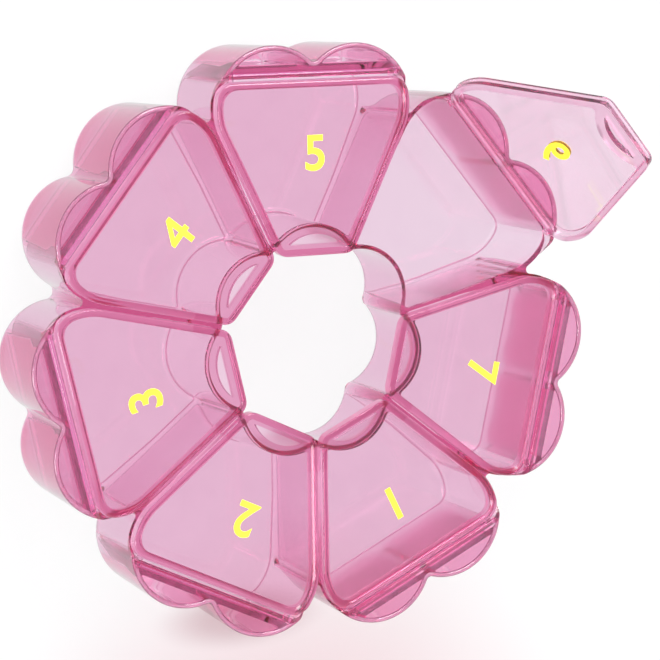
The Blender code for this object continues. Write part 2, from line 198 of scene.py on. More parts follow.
def rounded_brow(top, radius, steps=4):
    """Heights and insets of a rounded upper edge, lowest first."""
    turns = [math.pi / 2.0 * i / steps for i in range(steps + 1)]
    return [(top - radius * (1.0 - math.sin(t)), radius * (1.0 - math.cos(t))) for t in turns]


def stack(mesh, loops, turn=None):
    """A closed body from loops of equal length, each with its height, lowest first."""
    turn = turn or Matrix()
    rings = [[mesh.verts.new(turn @ Vector((x, y, z))) for x, y in points] for z, points in loops]
    for low, high in zip(rings, rings[1:]):
        for i in range(len(low)):
            j = (i + 1) % len(low)
            mesh.faces.new((low[i], low[j], high[j], high[i]))
    mesh.faces.new(list(reversed(rings[0])))
    mesh.faces.new(rings[-1])


def bar(mesh, profile, start, end, turn=None):
    """A closed body with a profile in u and z, run along v."""
    turn = turn or Matrix()
    rings = [[mesh.verts.new(turn @ Vector((u, v, z))) for u, z in profile] for v in (start, end)]
    for i in range(len(profile)):
        j = (i + 1) % len(profile)
        mesh.faces.new((rings[0][i], rings[0][j], rings[1][j], rings[1][i]))
    mesh.faces.new(list(reversed(rings[0])))
    mesh.faces.new(rings[1])


def piece_from(mesh, name):
    bmesh.ops.recalc_face_normals(mesh, faces=mesh.faces)
    data = bpy.data.meshes.new(name)
    mesh.to_mesh(data)
    mesh.free()
    piece = bpy.data.objects.new(name, data)
    bpy.context.scene.collection.objects.link(piece)
    return piece


def carve(piece, tools, added=()):
    """Joins and cuts with closed bodies, then drops them and shades the result as one polished moulding."""
    for tool, operation in [(t, "UNION") for t in added] + [(t, "DIFFERENCE") for t in tools]:
        modifier = piece.modifiers.new(tool.name, "BOOLEAN")
        modifier.operation = operation
        modifier.solver = "EXACT"
        modifier.object = tool
    graph = bpy.context.evaluated_depsgraph_get()
    shaped = bpy.data.meshes.new_from_object(piece.evaluated_get(graph))
    piece.modifiers.clear()
    piece.data = shaped
    for tool in list(added) + list(tools):
        bpy.data.objects.remove(tool, do_unlink=True)
    shaped.shade_smooth()
    shaped.set_sharp_from_angle(angle=math.radians(34.0))
    weighted = piece.modifiers.new("even_normals", "WEIGHTED_NORMAL")
    weighted.keep_sharp = True


mesh = bmesh.new()
levels = [(z, inset + DRAFT * (TOP - z)) for z, inset in rounded_foot(BASE_ROUND, 8)]
levels += rounded_brow(TOP - RIM_BEAD_SKIN, RIM_ROUND)
stack(mesh, [(z, heart_outline(inset)) for z, inset in levels])
tray = piece_from(mesh, "tray_moulding")

mesh = bmesh.new()
levels = [(z, inset + DRAFT * (TOP - z)) for z, inset in rounded_foot(BASE_ROUND, 8)]
levels = [(-OVERRUN, levels[0][1])] + levels
levels += [(z, DRAFT * (TOP - z) + grown) for z, grown in rounded_brow(TRAY_RIM, EDGE_ROUND)]
levels.append((TOP + OVERRUN, levels[-1][1]))
stack(mesh, [(z, hole_outline(grown)) for z, grown in levels])
centre_hole = piece_from(mesh, "centre_hole")

EAR_ROOT, EAR_BEND, EAR_TIP = (0.06125, TROUGH_HALF_LENGTH), (0.0609, 0.0236), (0.0560, 0.0247)
EAR_SIDE = (0.0565, 0.0258)
VALLEY_FACE = 0.0607

mesh = bmesh.new()
trough = [(TROUGH_OUTER, TROUGH_HALF_LENGTH), EAR_ROOT, *bend(EAR_ROOT, EAR_BEND, EAR_TIP, 12)]
trough += [EAR_TIP, EAR_SIDE]
corner = (VALLEY_FACE, -VALLEY_FACE * math.tan(HALF_PITCH))
lid_room = round_the_ring([corner] + [(u, -v) for u, v in reversed(trough)] + trough)
stack(mesh, [(TRAY_RIM, lid_room), (TOP + OVERRUN, lid_room)])
lid_room = piece_from(mesh, "lid_room")

SLOPE_START, SLOPE_RUN, SLOPE_END = 0.0625, 0.0058, 0.0555
SLOPE_NEAR, SLOPE_FAR = 0.0205, 0.0262
SLOPE_STEPS = 10

mesh = bmesh.new()
ear_slope = [(SLOPE_END, TOP + OVERRUN), (SLOPE_START, TOP + OVERRUN)]
for i in range(SLOPE_STEPS + 1):
    drop = 0.5 - 0.5 * math.cos(math.pi * i / SLOPE_STEPS)
    height = TOP - (TOP - TRAY_RIM - EDGE_ROUND) * drop
    ear_slope.append((SLOPE_START - SLOPE_RUN * i / SLOPE_STEPS, height))
ear_slope.append((SLOPE_END, TRAY_RIM + EDGE_ROUND))
for index in range(PETALS):
    for start, end in ((SLOPE_NEAR, SLOPE_FAR), (-SLOPE_FAR, -SLOPE_NEAR)):
        bar(mesh, ear_slope, start, end, petal_turn(index))
ear_slopes = piece_from(mesh, "ear_slopes")

CUP_FLOOR, CUP_MIDDLE = 0.0013, 0.012
FOOT_ROUND = 0.0006
CUP_DRAFT = math.tan(math.radians(1.0))
CUP_CORNER, CUP_BACK_CORNER = 0.0016, 0.0024
NOTCH_WALL = 0.0011
OUTER_WALL = 0.0012
HALF_WEB = 0.00055

mesh = bmesh.new()
levels = [(CUP_FLOOR + z, inset) for z, inset in rounded_foot(FOOT_ROUND)] + [(CUP_MIDDLE, 0.0)]
levels += [(z, -grown) for z, grown in rounded_brow(TRAY_RIM, EDGE_ROUND)] + [(TRAY_RIM + SHORT_OVERRUN, -EDGE_ROUND)]
levels = [(z, inset + CUP_DRAFT * max(TRAY_RIM - z, 0.0)) for z, inset in levels]
for index in range(PETALS):
    loops = []
    for z, inset in levels:
        walls = (NOTCH_RADIUS + NOTCH_WALL + inset, HALF_WEB + inset, LOBE_RADIUS - OUTER_WALL - inset)
        loops.append((z, cell_outline(*walls, CHORD_FACE - inset, CUP_CORNER, CUP_BACK_CORNER)))
    stack(mesh, loops, petal_turn(index))
cups = piece_from(mesh, "cups")


def segment_outline(centre, radius, chord, corner, steps=30):
    """A circular segment beyond a chord across u, with rounded points."""
    reach = math.sqrt(radius**2 - (chord - centre[0]) ** 2)
    end = math.atan2(reach, chord - centre[0]) - corner / radius
    points = arc(centre, radius, -end, end, steps)
    for side in (1.0, -1.0):
        tip, last = (chord, centre[1] + side * reach), (chord, centre[1] + side * (reach - corner))
        near = points[-1] if side > 0.0 else points[0]
        points += [*bend(near, tip, last, 4), last] if side > 0.0 else [last, *bend(last, tip, near, 4)]
    return points


# Below the trough the wall behind the hinge is thinner, and the step between the two is a slope.
POCKET_FLOOR = 0.0016
POCKET_BROW = 0.00045
POCKET_CORNER = 0.0010
STEP_LOW, STEP_HIGH = 0.0186, 0.0228
RELIEF, RELIEF_TOP, RELIEF_RUN = 0.0011, TRAY_RIM - 0.0015, 0.004

mesh = bmesh.new()
levels = [(POCKET_FLOOR + z, inset) for z, inset in rounded_foot(FOOT_ROUND)]
levels += [(STEP_LOW, 0.0), (STEP_HIGH, 0.0)]
levels += [(z, -grown) for z, grown in rounded_brow(TOP, POCKET_BROW)] + [(TOP + OVERRUN, -POCKET_BROW)]
levels = [(z, inset + CUP_DRAFT * max(TOP - z, 0.0)) for z, inset in levels]
for index in range(PETALS):
    for side in (-1.0, 1.0):
        lobe = (LOBE_OUT, side * LOBE_SIDE)
        loops = []
        for z, inset in levels:
            wall = POCKET_FACE + inset - RELIEF * min(1.0, max(RELIEF_TOP - z, 0.0) / RELIEF_RUN)
            loops.append((z, segment_outline(lobe, LOBE_RADIUS - OUTER_WALL - inset, wall, POCKET_CORNER)))
        stack(mesh, loops, petal_turn(index))
lobe_pockets = piece_from(mesh, "lobe_pockets")

STRIP_DROP = 0.0003
STRIP_SPILL = 0.0003
STRIP_END = 0.0009

mesh = bmesh.new()
near, far, half = TROUGH_OUTER - SHORT_OVERRUN, POCKET_FACE + STRIP_SPILL, TROUGH_HALF_LENGTH - STRIP_END
for index in range(PETALS):
    loop = [(near, -half), (far, -half), (far, half), (near, half)]
    stack(mesh, [(TOP - STRIP_DROP, loop), (TOP + OVERRUN, loop)], petal_turn(index))
back_rims = piece_from(mesh, "back_rims")

carve(tray, [centre_hole, lid_room, ear_slopes, cups, lobe_pockets, back_rims])


def mark_faces(piece, marks_at, frames):
    """Gives each face a painted shade that stands for how deep the plastic behind it is, from 0 on a thin wall
    to 1 down the length of one, and how matt it was left."""
    depth = piece.data.attributes.new("painted_shade_depth", "FLOAT", "FACE")
    frost = piece.data.attributes.new("frost", "FLOAT", "FACE")
    for face in piece.data.polygons:
        frame = max(frames, key=lambda place: (place @ face.center).x)
        marks = marks_at(frame @ face.center, frame.to_3x3() @ face.normal)
        depth.data[face.index].value, frost.data[face.index].value = marks


def tray_marks(spot, facing):
    """Painted shade: darkest on the strip behind each hinge, less in the lobes, at the foot of each wall, in the
    valleys and on the rim tops.
    """
    u, v, z = spot
    upright = abs(facing.z) < 0.3
    # Painted shade: darkest on the strip behind each hinge.
    if facing.z > 0.9 and TOP - 0.0005 < z < TOP - 0.0001 and TROUGH_OUTER < u < POCKET_FACE:
        return 1.0, 0.0
    if u > POCKET_FACE and abs(v) < TROUGH_HALF_LENGTH + 0.001:
        return (0.36 if upright or z < 0.003 else 0.0), 0.0
    # Painted shade on the wall behind each cup.
    if upright and u > CHORD_FACE - 0.0008 and abs(facing.x) > 0.9:
        return (0.18, 0.6) if u < CHORD_FACE + 0.0003 else (0.1, 0.0)
    # Painted shade at the foot of each wall.
    if z < 0.0024 and 0.3 < facing.z < 0.85:
        return 0.7, 0.5
    from_valley = u * math.tan(HALF_PITCH) - abs(v)
    # Painted shade in the valleys.
    if upright and u > 0.058 and abs(v) > TROUGH_HALF_LENGTH + 0.002 and from_valley < 0.0022:
        return 0.5, 0.0
    # Painted shade on the rim tops.
    if facing.z > 0.1 and z > TRAY_RIM - 0.0004:
        return (0.3, 0.0) if z > TRAY_RIM + 0.001 else (0.4, 0.0)
    return 0.0, 0.0


mark_faces(tray, tray_marks, [petal_turn(index).inverted() for index in range(PETALS)])


def polish_group():
    """Gloss of a handled moulding: faint flow waves, fine hairline marks and a thin haze of fingerprints."""
    group = bpy.data.node_groups.new("handled_polish", "ShaderNodeTree")
    for name, value in (("Gloss", 0.03), ("Haze", 0.05), ("Wave Scale", 60.0), ("Mark Scale", 900.0)):
        socket = group.interface.new_socket(name=name, in_out="INPUT", socket_type="NodeSocketFloat")
        socket.default_value = value
    for name in ("Roughness", "Height", "Film"):
        group.interface.new_socket(name=name, in_out="OUTPUT", socket_type="NodeSocketFloat")
    nodes, link = group.nodes, group.links.new
    inlet, outlet = nodes.new("NodeGroupInput"), nodes.new("NodeGroupOutput")
    place = nodes.new("ShaderNodeTexCoord")
    waves = nodes.new("ShaderNodeTexNoise")
    waves.inputs["Detail"].default_value = 1.0
    marks = nodes.new("ShaderNodeTexNoise")
    marks.inputs["Detail"].default_value = 3.0
    prints = nodes.new("ShaderNodeTexNoise")
    prints.inputs["Scale"].default_value = 140.0
    prints.inputs["Detail"].default_value = 4.0
    film = nodes.new("ShaderNodeMapRange")
    film.inputs["From Min"].default_value = 0.45
    film.inputs["From Max"].default_value = 0.72
    rough = nodes.new("ShaderNodeMath")
    rough.operation = "MULTIPLY_ADD"
    height = nodes.new("ShaderNodeMath")
    height.operation = "MULTIPLY_ADD"
    height.inputs[1].default_value = 0.02
    for noise, scale in ((waves, "Wave Scale"), (marks, "Mark Scale")):
        link(place.outputs["Object"], noise.inputs["Vector"])
        link(inlet.outputs[scale], noise.inputs["Scale"])
    link(place.outputs["Object"], prints.inputs["Vector"])
    link(prints.outputs["Fac"], film.inputs["Value"])
    link(film.outputs["Result"], rough.inputs[0])
    link(inlet.outputs["Haze"], rough.inputs[1])
    link(inlet.outputs["Gloss"], rough.inputs[2])
    link(marks.outputs["Fac"], height.inputs[0])
    link(waves.outputs["Fac"], height.inputs[2])
    link(rough.outputs["Value"], outlet.inputs["Roughness"])
    link(height.outputs["Value"], outlet.inputs["Height"])
    link(film.outputs["Result"], outlet.inputs["Film"])
    return group


handled_polish = polish_group()


# The colour of the painted shade, halfway to its darkest.
PAINTED_SHADE_PINK = (0.97, 0.41, 0.64)


def tinted_plastic(name, clear, filmed, painted_shade_darkest, depth_colour, depth_density, gloss, wave, haze=0.05):
    """Clear plastic dyed right through: the depth of its colour comes from how thick it is, and a painted shade from
    each face's mark darkens its surface colour further.
    """
    material = bpy.data.materials.new(name)
    material.use_nodes = True
    nodes, link = material.node_tree.nodes, material.node_tree.links.new
    shader = nodes["Principled BSDF"]
    shader.inputs["Transmission Weight"].default_value = 1.0
    shader.inputs["IOR"].default_value = 1.20
    shader.inputs["Coat Weight"].default_value = 1.0
    shader.inputs["Coat IOR"].default_value = 1.5
    shader.inputs["Coat Roughness"].default_value = gloss
    polish = nodes.new("ShaderNodeGroup")
    polish.node_tree = handled_polish
    polish.inputs["Gloss"].default_value = gloss
    polish.inputs["Haze"].default_value = haze
    tone = nodes.new("ShaderNodeMix")
    tone.data_type = "RGBA"
    tone.inputs["A"].default_value = (*clear, 1.0)
    tone.inputs["B"].default_value = (*filmed, 1.0)
    painted_shade_depth = nodes.new("ShaderNodeAttribute")
    painted_shade_depth.attribute_name = "painted_shade_depth"
    # Painted shade: each face's mark darkens the surface colour towards the darkest shade.
    painted_shade_ramp = nodes.new("ShaderNodeValToRGB")
    painted_shade_ramp.color_ramp.elements.new(0.5)
    for stop, colour in zip(painted_shade_ramp.color_ramp.elements, ((1.0, 1.0, 1.0), PAINTED_SHADE_PINK, painted_shade_darkest)):
        stop.color = (*colour, 1.0)
    painted_shade_tone = nodes.new("ShaderNodeMix")
    painted_shade_tone.data_type = "RGBA"
    painted_shade_tone.blend_type = "MULTIPLY"
    painted_shade_tone.inputs["Factor"].default_value = 1.0
    frost = nodes.new("ShaderNodeAttribute")
    frost.attribute_name = "frost"
    frosted = nodes.new("ShaderNodeMath")
    frosted.operation = "MAXIMUM"
    bump = nodes.new("ShaderNodeBump")
    bump.inputs["Strength"].default_value = wave
    bump.inputs["Distance"].default_value = 0.0002
    depth = nodes.new("ShaderNodeVolumeAbsorption")
    depth.inputs["Color"].default_value = (*depth_colour, 1.0)
    depth.inputs["Density"].default_value = depth_density
    link(polish.outputs["Film"], tone.inputs["Factor"])
    link(tone.outputs["Result"], painted_shade_tone.inputs["A"])
    link(painted_shade_depth.outputs["Fac"], painted_shade_ramp.inputs["Fac"])
    link(painted_shade_ramp.outputs["Color"], painted_shade_tone.inputs["B"])
    link(painted_shade_tone.outputs["Result"], shader.inputs["Base Color"])
    link(polish.outputs["Roughness"], frosted.inputs[0])
    link(frost.outputs["Fac"], frosted.inputs[1])
    link(frosted.outputs["Value"], shader.inputs["Roughness"])
    link(polish.outputs["Height"], bump.inputs["Height"])
    link(bump.outputs["Normal"], shader.inputs["Normal"])
    link(depth.outputs["Volume"], nodes["Material Output"].inputs["Volume"])
    return material


tray_pink = tinted_plastic(
    "tray_pink_plastic",
    clear=(0.962, 0.79, 0.885),
    filmed=(0.947, 0.77, 0.87),
    painted_shade_darkest=(0.24, 0.006, 0.06),
    depth_colour=(0.80, 0.0, 0.42),
    depth_density=72.0,
    gloss=0.03,
    wave=0.25,
)
tray.data.materials.append(tray_pink)
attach(tray, "tray")
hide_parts("tray")


# The lobe rims: the rounded tops of the outer walls behind each hinge, part of the same moulding. The light that
# the wall has carried up leaves there, so they carry a painted pale glow, only partly clear, with a bright line along
# each side.
RIM_WIDTH = 0.0012
RIM_DEPTH = 0.0006
RIM_SIDE = 0.00006
RIM_START = 0.0622
RIM_TAPER = 0.0016
RIM_END_SHARE = 0.3


def lobe_rims():
    mesh = bmesh.new()
    turns = [math.pi * i / 8 for i in range(9)]
    reach = RIM_WIDTH / 2.0 - RIM_SIDE
    profile = [(RIM_WIDTH / 2.0 - reach * math.cos(t), TOP - RIM_DEPTH + RIM_DEPTH * math.sin(t)) for t in turns]
    edges = [petal_edge(inset) for inset, z in profile]
    kept = [i for i, (u, v) in enumerate(petal_edge(0.0)) if u > RIM_START]
    for index in range(PETALS):
        turn = petal_turn(index)
        rings = []
        for i in kept:
            outer, inner = Vector(edges[0][i]), Vector(edges[-1][i])
            rise = max(0.0, outer.x - RIM_START) / RIM_TAPER
            share = min(1.0, RIM_END_SHARE + (1.0 - RIM_END_SHARE) * rise)
            ring = []
            for (inset, z), edge in zip(profile, edges):
                spot = outer + (Vector(edge[i]) - outer) * share
                height = TOP - RIM_DEPTH + (z - TOP + RIM_DEPTH) * share
                ring.append(mesh.verts.new(turn @ Vector((*spot, height))))
            rings.append(ring)
        for near, far in zip(rings, rings[1:]):
            for k in range(len(profile)):
                j = (k + 1) % len(profile)
                mesh.faces.new((near[k], near[j], far[j], far[k]))
        mesh.faces.new(list(reversed(rings[0])))
        mesh.faces.new(rings[-1])
    rims = piece_from(mesh, "tray_lobe_rims")
    rims.data.shade_smooth()
    return rims


def milky_plastic(name, pale, filmed, clearness, gloss, haze):
    """Only partly clear plastic whose pale colour is a painted glow, under a brighter skin."""
    material = bpy.data.materials.new(name)
    material.use_nodes = True
    nodes, link = material.node_tree.nodes, material.node_tree.links.new
    shader = nodes["Principled BSDF"]
    shader.inputs["Transmission Weight"].default_value = clearness
    shader.inputs["IOR"].default_value = 1.20
    shader.inputs["Coat Weight"].default_value = 1.0
    shader.inputs["Coat IOR"].default_value = 1.6
    shader.inputs["Coat Roughness"].default_value = 0.06
    polish = nodes.new("ShaderNodeGroup")
    polish.node_tree = handled_polish
    polish.inputs["Gloss"].default_value = gloss
    polish.inputs["Haze"].default_value = haze
    tone = nodes.new("ShaderNodeMix")
    tone.data_type = "RGBA"
    tone.inputs["A"].default_value = (*pale, 1.0)
    tone.inputs["B"].default_value = (*filmed, 1.0)
    link(polish.outputs["Film"], tone.inputs["Factor"])
    link(tone.outputs["Result"], shader.inputs["Base Color"])
    link(polish.outputs["Roughness"], shader.inputs["Roughness"])
    return material


# Painted glow: the rims' pale colour stands for the light that leaves them.
rims = lobe_rims()
rims.data.materials.append(
    milky_plastic("rim_painted_glow_pink_plastic", (0.72, 0.32, 0.50), (0.68, 0.30, 0.47), 0.6, 0.12, 0.05)
)
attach(rims, "tray")
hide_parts("tray")


# The seven lids: shallow caps of the same plastic, each with a sunk panel inside a raised bead, round shoulders
# flush with the cup below, a curved rib under the finger tab, and two hooks that go under the hinge rod.
LID_SIDE_GAP = 0.00055
LID_HINGE_EDGE = 0.060984
LID_END = 0.02045
LID_BOTTOM = 0.0245
PANEL_TOP = 0.0270
PANEL_UNDER = 0.0259
BEAD = 0.00165
HINGE_BEAD = 0.0018
TAB_REACH = 0.0283
OPEN_SWING = math.radians(113.0)
OPEN_LID = 6
LENS_RADIUS = 0.0098
LENS_START = LID_END + 0.0025
RIB_OUTER = 0.0121
SIDE_ROUND = 0.0005
HOOK_INNER, HOOK_OUTER = 0.00085, 0.0015
HOOK_ROOT = AXIS_OUT - 0.0016
HOOK_WIDTH, HOOK_END = 0.0013, TROUGH_HALF_LENGTH - 0.0004
HOOK_BACK, HOOK_TURN, HOOK_TIP = math.radians(205.0), math.radians(250.0), math.radians(290.0)


def lid_outline(inset, hinge_inset):
    """Edge of a lid: straight at both ends, with round shoulders."""
    side, back, front = LID_SIDE_GAP + inset, LID_HINGE_EDGE - hinge_inset, LID_END + inset
    radius, lobe = LOBE_TO_LINE - side, (LOBE_OUT, LOBE_SIDE)
    outer = (back, LOBE_SIDE + math.sqrt(radius**2 - (back - LOBE_OUT) ** 2))
    tip = (front, (front * math.sin(HALF_PITCH) - side) / math.cos(HALF_PITCH))
    along = from_line(LOBE_ALONG_LINE, side)
    corner, back_corner = max(0.0022 - inset, 0.0005), 0.0030
    half = [(front, 0.0), (front, tip[1] - corner)]
    half += bend(half[-1], tip, towards(tip, along, corner))
    half += [towards(tip, along, corner)]
    half += arc(lobe, radius, HALF_PITCH + math.pi / 2.0, direction(lobe, outer) + back_corner / radius, 22)
    half += bend(half[-1], outer, (back, outer[1] - back_corner))
    half += [(back, outer[1] - back_corner), (back, 0.0)]
    return both_sides(half)


def lid_place(number):
    """Moves what is made in the frame of a petal to where its lid rests."""
    index = (number + 2) % PETALS
    swing = OPEN_SWING if number == OPEN_LID else 0.0
    axis = Matrix.Translation(Vector((AXIS_OUT, 0.0, AXIS_HEIGHT)))
    return petal_turn(index) @ axis @ Matrix.Rotation(swing, 4, "Y") @ axis.inverted()


def lid_marks(spot, facing, number):
    """Painted shade: a closed lid is darker on its bead, its tab rib and its underside where the walls that it rests
    on show through, and the open one only a fifth as much.
    """
    rest = 0.2 if number == OPEN_LID else 1.0
    from_notch = math.hypot(spot.x - NOTCH_CENTRE, spot.y)
    # Painted shade on the raised bead.
    if spot.z > PANEL_TOP + 0.0001:
        return 0.6 * rest, 0.0
    if facing.z < -0.9 and spot.z > PANEL_UNDER - 0.0003 and from_notch < 0.0099:
        return 0.1, 0.45
    if spot.x < TAB_REACH and abs(facing.z) < 0.3 and 0.0096 < from_notch < 0.0123:
        return 0.3 * rest, 0.0
    # Painted shade on the underside, over the walls below.
    if spot.z < LID_BOTTOM + 0.0003:
        return (0.6 if spot.x < TAB_REACH else 0.3) * rest, 0.35
    return 0.0, 0.0


def make_lid(number):
    place = lid_place(number)
    mesh = bmesh.new()
    loops = [(LID_BOTTOM, lid_outline(0.0002, 0.0002)), (LID_BOTTOM + 0.0002, lid_outline(0.0, 0.0))]
    for z, hinge in rounded_brow(TOP, 0.0011, 8):
        below = max(SIDE_ROUND - (TOP - z), 0.0)
        loops.append((z, lid_outline(SIDE_ROUND - math.sqrt(SIDE_ROUND**2 - below**2), hinge)))
    stack(mesh, loops, place)
    lid = piece_from(mesh, f"lid_{number}_cap")

    mesh = bmesh.new()
    lobe_edge = LOBE_TO_LINE - LID_SIDE_GAP - BEAD
    edge = (RIB_OUTER, LID_SIDE_GAP + BEAD, lobe_edge, LID_HINGE_EDGE - HINGE_BEAD)
    hollow = cell_outline(*edge, 0.0016, 0.0030)
    stack(mesh, [(LID_BOTTOM - OVERRUN, hollow), (PANEL_UNDER, hollow)], place)
    under_panel = piece_from(mesh, "under_panel")

    mesh = bmesh.new()
    lens = segment_outline((NOTCH_CENTRE, 0.0), LENS_RADIUS, LENS_START, 0.0005)
    stack(mesh, [(LID_BOTTOM - OVERRUN, lens), (PANEL_UNDER, lens)], place)
    under_tab = piece_from(mesh, "under_tab")

    mesh = bmesh.new()
    levels = [(PANEL_TOP, 0.0), (TOP - 0.00015, -0.0003), (TOP, -0.00045), (TOP + OVERRUN, -0.00045)]
    stack(mesh, [(z, lid_outline(BEAD + i, HINGE_BEAD + i)) for z, i in levels], place)
    sunk_panel = piece_from(mesh, "sunk_panel")

    mesh = bmesh.new()
    hook = arc((AXIS_OUT, AXIS_HEIGHT), HOOK_OUTER, HOOK_TURN, HOOK_TIP, 6)
    hook += arc((AXIS_OUT, AXIS_HEIGHT), HOOK_INNER, HOOK_TIP, HOOK_BACK, 12)
    hook.append((HOOK_ROOT, AXIS_HEIGHT + HOOK_INNER * math.sin(HOOK_BACK)))
    hook.append((HOOK_ROOT, AXIS_HEIGHT + HOOK_OUTER * math.sin(HOOK_TURN)))
    for low, high in ((HOOK_END - HOOK_WIDTH, HOOK_END), (-HOOK_END, HOOK_WIDTH - HOOK_END)):
        bar(mesh, hook, low, high, place)
    hooks = piece_from(mesh, "hooks")

    carve(lid, [under_panel, under_tab, sunk_panel], [hooks])
    mesh = bmesh.new()
    mesh.from_mesh(lid.data)
    whole = mesh.verts[:] + mesh.edges[:] + mesh.faces[:]
    cut, facing = place @ Vector((TAB_REACH, 0.0, 0.0)), place.to_3x3() @ Vector((1.0, 0.0, 0.0))
    bmesh.ops.bisect_plane(mesh, geom=whole, dist=1e-7, plane_co=cut, plane_no=facing)
    mesh.to_mesh(lid.data)
    mesh.free()
    mark_faces(lid, lambda spot, facing: lid_marks(spot, facing, number), [place.inverted()])
    return lid


for number in range(1, PETALS + 1):
    lid = make_lid(number)
    lid_pink = tinted_plastic(
        f"lid_{number}_pink_plastic",
        clear=(0.98, 0.80, 0.89),
        filmed=(0.965, 0.78, 0.875),
        painted_shade_darkest=(0.26, 0.0075, 0.068),
        depth_colour=(0.80, 0.0, 0.42),
        depth_density=72.0,
        gloss=0.03,
        wave=0.25,
    )
    lid.data.materials.append(lid_pink)
    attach(lid, f"lid_{number}")
    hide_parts(f"lid_{number}")


# The hinge rods: thin straight rods of the same plastic in a deeper magenta, round at both ends. Each lies over
# the hooks of its lid, and its ends sit in the solid ends of the trough.
ROD_RADIUS = 0.00065
ROD_HALF_LENGTH = 0.0219
ROD_ROUND = 0.0002
ROD_SIDES = 28


def make_rod(number):
    place = lid_place(number)
    outline = [(-ROD_HALF_LENGTH, 0.0)]
    for step in range(1, 6):
        t = math.pi / 2.0 * step / 5
        radius = ROD_RADIUS - ROD_ROUND * (1.0 - math.sin(t))
        outline.append((ROD_ROUND * (1.0 - math.cos(t)) - ROD_HALF_LENGTH, radius))
    outline += [(-v, r) for v, r in reversed(outline)]
    mesh = bmesh.new()
    rings = []
    for v, radius in outline:
        spots = arc((AXIS_OUT, AXIS_HEIGHT), max(radius, 0.00001), 0.0, 2.0 * math.pi, ROD_SIDES)[:-1]
        rings.append([mesh.verts.new(place @ Vector((u, v, z))) for u, z in spots])
    for low, high in zip(rings, rings[1:]):
        for i in range(ROD_SIDES):
            j = (i + 1) % ROD_SIDES
            mesh.faces.new((low[i], low[j], high[j], high[i]))
    mesh.faces.new(list(reversed(rings[0])))
    mesh.faces.new(rings[-1])
    rod = piece_from(mesh, f"rod_{number}_magenta")
    rod.data.shade_smooth()
    return rod


for number in range(1, PETALS + 1):
    rod = make_rod(number)
    rod_magenta = tinted_plastic(
        f"rod_{number}_magenta_plastic",
        clear=(0.90, 0.45, 0.68),
        filmed=(0.88, 0.43, 0.66),
        painted_shade_darkest=(0.26, 0.0075, 0.068),
        depth_colour=(0.85, 0.0, 0.55),
        depth_density=180.0,
        gloss=0.04,
        wave=0.1,
    )
    rod.data.materials.append(rod_magenta)
    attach(rod, f"lid_{number}")
    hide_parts(f"hinge_rod_{number}")


# The printed numbers: opaque yellow ink, one number on each lid with its top towards the hinge, as a raised
# film on the panel.
INK_YELLOW = (1.0, 1.0, 0.06)
NUMBER_SIZE = 0.0114
NUMBER_OUT = 0.0437
HALF_FILM = 0.00003
FILM_LIFT = 0.00004


def ink(name):
    material = bpy.data.materials.new(name)
    material.use_nodes = True
    nodes, link = material.node_tree.nodes, material.node_tree.links.new
    shader = nodes["Principled BSDF"]
    grain = nodes.new("ShaderNodeTexNoise")
    grain.inputs["Scale"].default_value = 2500.0
    place = nodes.new("ShaderNodeTexCoord")
    tone = nodes.new("ShaderNodeMix")
    tone.data_type = "RGBA"
    tone.inputs["A"].default_value = (*INK_YELLOW, 1.0)
    tone.inputs["B"].default_value = (0.96, 0.94, 0.04, 1.0)
    rough = nodes.new("ShaderNodeMapRange")
    rough.inputs["To Min"].default_value = 0.35
    rough.inputs["To Max"].default_value = 0.5
    link(place.outputs["Object"], grain.inputs["Vector"])
    link(grain.outputs["Fac"], tone.inputs["Factor"])
    link(grain.outputs["Fac"], rough.inputs["Value"])
    link(tone.outputs["Result"], shader.inputs["Base Color"])
    link(rough.outputs["Result"], shader.inputs["Roughness"])
    return material


def figure_four():
    """The font's four comes with its eye filled, so it is cut from its own outline."""
    outline = [(0.0007, 0.0044), (-0.0029, -0.0001), (-0.0029, -0.0011), (0.0005, -0.0011), (0.0005, -0.0036)]
    outline += [(0.0019, -0.0036), (0.0019, -0.0011), (0.0028, -0.0011), (0.0028, 0.0003)]
    outline += [(0.0019, 0.0003), (0.0019, 0.0044)]
    eye = [(0.0005, 0.0003), (0.0005, 0.0023), (-0.0011, 0.0003)]
    mesh = bmesh.new()
    stack(mesh, [(-HALF_FILM, outline), (HALF_FILM, outline)])
    figure = piece_from(mesh, "figure")
    mesh = bmesh.new()
    stack(mesh, [(-0.0005, eye), (0.0005, eye)])
    carve(figure, [piece_from(mesh, "eye")])
    film = figure.data.copy()
    bpy.data.objects.remove(figure, do_unlink=True)
    return film


def make_number(number):
    curve = bpy.data.curves.new("figure", "FONT")
    curve.body = str(number)
    curve.align_x = "CENTER"
    curve.align_y = "CENTER"
    curve.size = NUMBER_SIZE
    curve.offset = 0.0002
    curve.extrude = HALF_FILM
    held = bpy.data.objects.new("figure", curve)
    bpy.context.scene.collection.objects.link(held)
    graph = bpy.context.evaluated_depsgraph_get()
    mesh = bmesh.new()
    faces = [PANEL_TOP + FILM_LIFT]
    if number == OPEN_LID:
        faces.append(PANEL_UNDER - FILM_LIFT)
    for height in faces:
        curve.offset = 0.0001 if number == OPEN_LID and height > PANEL_TOP else 0.0002
        graph.update()
        film = figure_four() if number == 4 else bpy.data.meshes.new_from_object(held.evaluated_get(graph))
        film.transform(Matrix(((0, 1, 0, NUMBER_OUT), (-1, 0, 0, 0), (0, 0, 1, height), (0, 0, 0, 1))))
        mesh.from_mesh(film)
    bpy.data.objects.remove(held, do_unlink=True)
    mesh.transform(lid_place(number))
    data = bpy.data.meshes.new("figure")
    mesh.to_mesh(data)
    mesh.free()
    figure = bpy.data.objects.new(f"printed_number_{number}", data)
    bpy.context.scene.collection.objects.link(figure)
    return figure


for number in range(1, PETALS + 1):
    figure = make_number(number)
    figure.data.materials.append(ink(f"number_{number}_yellow_ink"))
    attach(figure, f"lid_{number}")


